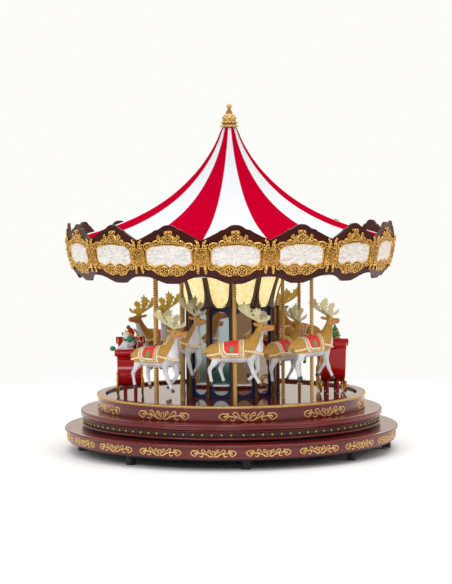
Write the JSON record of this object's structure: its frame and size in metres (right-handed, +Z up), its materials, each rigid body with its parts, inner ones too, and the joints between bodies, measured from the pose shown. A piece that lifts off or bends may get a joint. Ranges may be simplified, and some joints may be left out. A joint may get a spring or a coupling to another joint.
{
  "type": "table-top reindeer carousel model",
  "caption": "Round table-top carousel model: a stepped base, a turntable of reindeer on brass poles with two sleighs, a mirrored column, shaped boards and a striped canopy.",
  "frame": {"origin": "centre of the overall box on the ground plane, on the turntable's axis", "axes": "+Z up along the turntable's axis; the front rider is at -Y and faces +X"},
  "size_m": [0.34, 0.34, 0.3504],
  "materials": {
    "black_rubber": "matt",
    "mahogany": "high gloss lacquer",
    "dark_plastic": "matt",
    "gold": "polished",
    "navy": "satin",
    "mirror": "polished",
    "lantern_cream": "pebbled, glowing",
    "dark_brown": "gloss",
    "pale_grey": "matt",
    "canopy_red": "satin, striped red and white",
    "sleigh_red": "high gloss",
    "white": "satin",
    "green": "satin",
    "deer_brown": "satin, hand painted"
  },
  "bodies": {
    "base": {"base_plate": "black_rubber", "lower_plinth": "mahogany", "step_tier": "mahogany", "light_strip": "dark_plastic", "upper_ring": "mahogany", "ring_trim": "gold", "switch_box": "dark_plastic"},
    "rotor": {"turntable": "mahogany", "mirror_core": "mirror", "column_shell": "navy", "column_pillars": "gold", "lantern_glass": "lantern_cream", "lantern_frame": "dark_brown", "ceiling": "pale_grey", "rounding_boards": "dark_brown", "canopy": "canopy_red", "finial": "gold", "sleigh_left": "sleigh_red", "sleigh_left_runners": "gold", "snowman": "white", "sleigh_right": "sleigh_red", "sleigh_right_runners": "gold", "gift_tree": "green"},
    "rider_outer_front": {"deer_outer_front": "deer_brown", "pole_outer_front": "gold"},
    "rider_outer_front_right": {"deer_outer_front_right": "deer_brown", "pole_outer_front_right": "gold"},
    "rider_outer_front_left": {"deer_outer_front_left": "deer_brown", "pole_outer_front_left": "gold"},
    "rider_outer_back": {"deer_outer_back": "deer_brown", "pole_outer_back": "gold"},
    "rider_outer_back_right": {"deer_outer_back_right": "deer_brown", "pole_outer_back_right": "gold"},
    "rider_outer_back_left": {"deer_outer_back_left": "deer_brown", "pole_outer_back_left": "gold"},
    "rider_inner_front_right": {"deer_inner_front_right": "deer_brown", "pole_inner_front_right": "gold"},
    "rider_inner_front_left": {"deer_inner_front_left": "deer_brown", "pole_inner_front_left": "gold"},
    "rider_inner_back_right": {"deer_inner_back_right": "deer_brown", "pole_inner_back_right": "gold"},
    "rider_inner_back_left": {"deer_inner_back_left": "deer_brown", "pole_inner_back_left": "gold"}
  },
  "joints": [
    {"name": "turntable_spin", "type": "hinge", "parent": "base", "child": "rotor", "pos_m": [0, 0, 0.0554], "axis": [0, 0, 1], "continuous": true},
    {"name": "outer_front_slide", "type": "slide", "parent": "rotor", "child": "rider_outer_front", "axis": [0, 0, 1], "range_m": [-0.007, 0.007]},
    {"name": "outer_front_right_slide", "type": "slide", "parent": "rotor", "child": "rider_outer_front_right", "axis": [0, 0, 1], "range_m": [-0.0094, 0.0046]},
    {"name": "outer_front_left_slide", "type": "slide", "parent": "rotor", "child": "rider_outer_front_left", "axis": [0, 0, 1], "range_m": [-0.0004, 0.0136]},
    {"name": "outer_back_slide", "type": "slide", "parent": "rotor", "child": "rider_outer_back", "axis": [0, 0, 1], "range_m": [-0.009, 0.005]},
    {"name": "outer_back_right_slide", "type": "slide", "parent": "rotor", "child": "rider_outer_back_right", "axis": [0, 0, 1], "range_m": [-0.0093, 0.0047]},
    {"name": "outer_back_left_slide", "type": "slide", "parent": "rotor", "child": "rider_outer_back_left", "axis": [0, 0, 1], "range_m": [-0.0033, 0.0107]},
    {"name": "inner_front_right_slide", "type": "slide", "parent": "rotor", "child": "rider_inner_front_right", "axis": [0, 0, 1], "range_m": [-0.0024, 0.0116]},
    {"name": "inner_front_left_slide", "type": "slide", "parent": "rotor", "child": "rider_inner_front_left", "axis": [0, 0, 1], "range_m": [-0.011, 0.003]},
    {"name": "inner_back_right_slide", "type": "slide", "parent": "rotor", "child": "rider_inner_back_right", "axis": [0, 0, 1], "range_m": [-0.01, 0.004]},
    {"name": "inner_back_left_slide", "type": "slide", "parent": "rotor", "child": "rider_inner_back_left", "axis": [0, 0, 1], "range_m": [-0.0087, 0.0053]}
  ]
}
